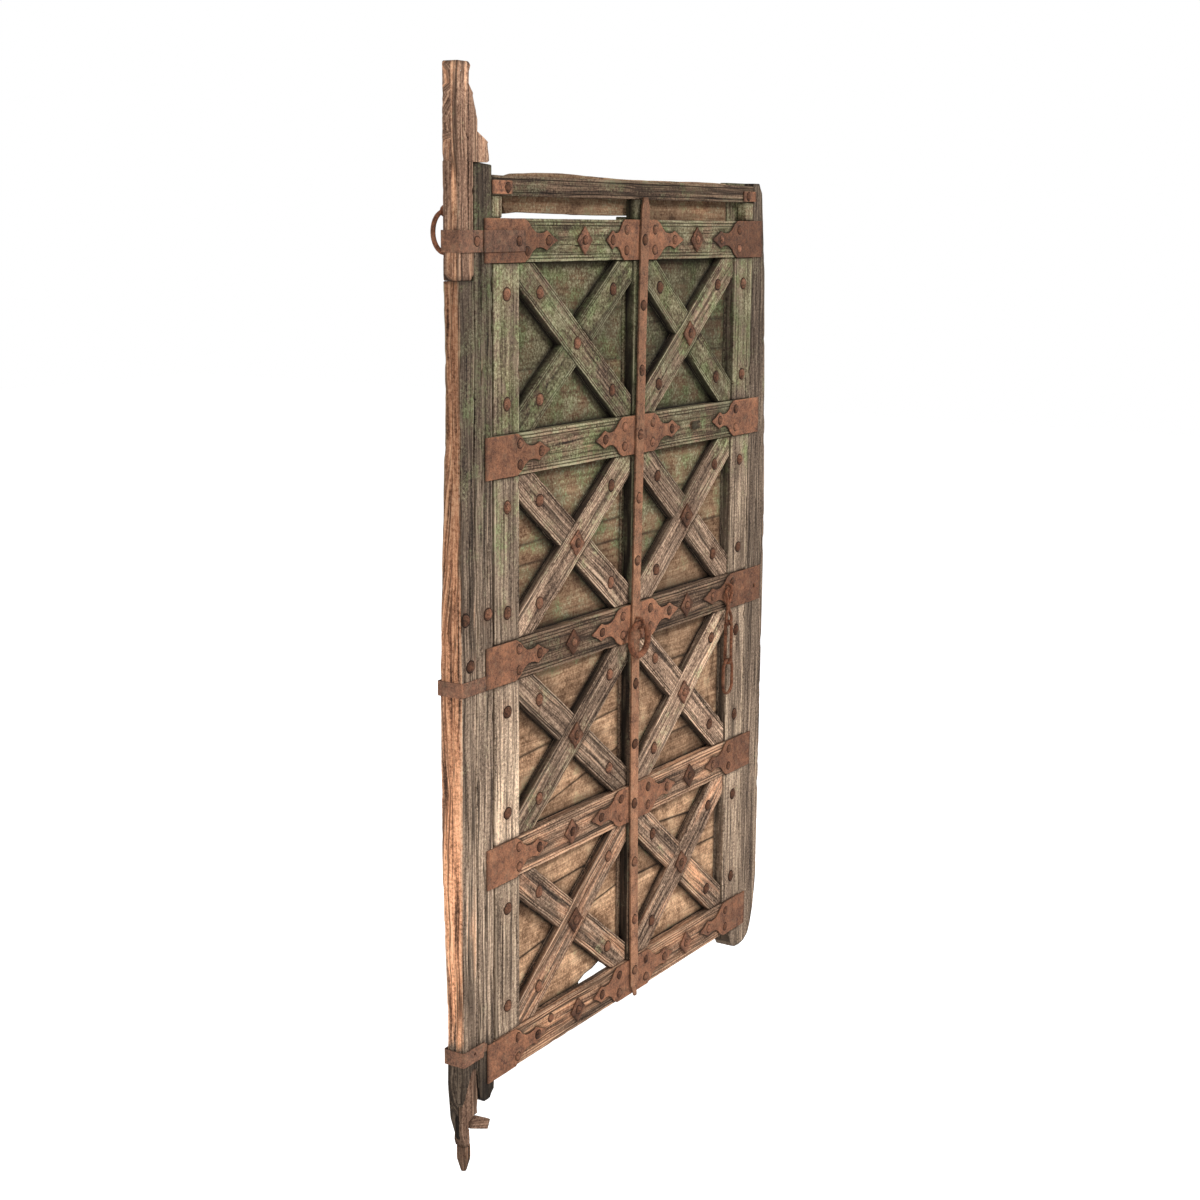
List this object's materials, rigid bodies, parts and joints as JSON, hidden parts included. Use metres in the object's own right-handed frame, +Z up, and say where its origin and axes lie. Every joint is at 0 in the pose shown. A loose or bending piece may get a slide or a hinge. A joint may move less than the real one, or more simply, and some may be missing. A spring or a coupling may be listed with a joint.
{
  "type": "braced door leaf",
  "caption": "Old pivot-hung door leaf with braced bays and forged straps, a ring pull and a hasp chain",
  "frame": {"origin": "on the axis of the lower pivot pin, at the middle of its straight wall", "axes": "+Z up along the pivot axis; +X from the heel post towards the lock stile; the ironed front face looks towards -Y"},
  "size_m": [1.186, 0.084, 2.023],
  "materials": {
    "post_wood": "weathered",
    "pivot_wood": "weathered",
    "rail_wood": "weathered",
    "strip_wood": "weathered",
    "brace_wood": "weathered",
    "plank_wood": "weathered",
    "plate_iron": "rusted",
    "bar_iron": "rusted",
    "band_iron": "rusted",
    "nail_iron": "rusted",
    "ring_iron": "rusted"
  },
  "bodies": {
    "leaf": {"heel_post": "post_wood", "upper_pivot_timber": "pivot_wood", "lower_pivot_splint": "pivot_wood", "foot_peg": "pivot_wood", "lock_stile": "post_wood", "centre_muntin": "rail_wood", "header_rail": "rail_wood", "header_back_board": "plank_wood", "header_blocks": "rail_wood", "rail_1": "rail_wood", "rail_2": "rail_wood", "rail_3": "rail_wood", "rail_4": "rail_wood", "rail_5": "rail_wood", "left_strip_1": "strip_wood", "left_strip_2": "strip_wood", "left_strip_3": "strip_wood", "left_strip_4": "strip_wood", "right_strip_1": "strip_wood", "right_strip_2": "strip_wood", "right_strip_3": "strip_wood", "right_strip_4": "strip_wood", "rising_brace_left_1": "brace_wood", "rising_brace_left_2": "brace_wood", "rising_brace_left_3": "brace_wood", "rising_brace_left_4": "brace_wood", "falling_brace_left_1": "brace_wood", "falling_brace_left_2": "brace_wood", "falling_brace_left_3": "brace_wood", "falling_brace_left_4": "brace_wood", "rising_brace_right_1": "brace_wood", "rising_brace_right_2": "brace_wood", "rising_brace_right_3": "brace_wood", "rising_brace_right_4": "brace_wood", "falling_brace_right_1": "brace_wood", "falling_brace_right_2": "brace_wood", "falling_brace_right_3": "brace_wood", "falling_brace_right_4": "brace_wood", "planks_row_1": "plank_wood", "planks_row_2": "plank_wood", "planks_row_3": "plank_wood", "planks_row_4": "plank_wood", "left_plates": "plate_iron", "centre_plates": "plate_iron", "right_plates": "plate_iron", "centre_bar": "bar_iron", "upper_band": "band_iron", "middle_band": "band_iron", "lower_band": "band_iron", "wood_nails": "nail_iron", "plate_nails": "nail_iron", "bar_nails": "nail_iron", "square_washers": "nail_iron", "ring_staple": "ring_iron", "chain_staple": "ring_iron"},
    "pull": {"ring_pull": "ring_iron"},
    "upper_link": {"chain_link_1": "ring_iron"},
    "turned_link": {"chain_link_2": "ring_iron"},
    "hasp": {"hasp_link": "ring_iron"},
    "back_ring": {"rear_ring": "ring_iron"}
  },
  "joints": [
    {"name": "pull_swing", "type": "hinge", "parent": "leaf", "child": "pull", "pos_m": [0.5695, -0.0335, 0.922], "axis": [-1, 0, 0], "range_deg": [0, 110]},
    {"name": "upper_link_swing", "type": "hinge", "parent": "leaf", "child": "upper_link", "pos_m": [0.963, -0.028, 0.933], "axis": [-1, 0, 0], "range_deg": [0, 75]},
    {"name": "turned_link_swing", "type": "hinge", "parent": "upper_link", "child": "turned_link", "pos_m": [0.963, -0.028, 0.851], "axis": [-1, 0, 0], "range_deg": [0, 60]},
    {"name": "hasp_swing", "type": "hinge", "parent": "turned_link", "child": "hasp", "pos_m": [0.963, -0.028, 0.771], "axis": [-1, 0, 0], "range_deg": [0, 60]},
    {"name": "back_ring_swing", "type": "hinge", "parent": "leaf", "child": "back_ring", "pos_m": [0, 0.0265, 1.736], "axis": [1, 0, 0], "range_deg": [0, 100]}
  ]
}
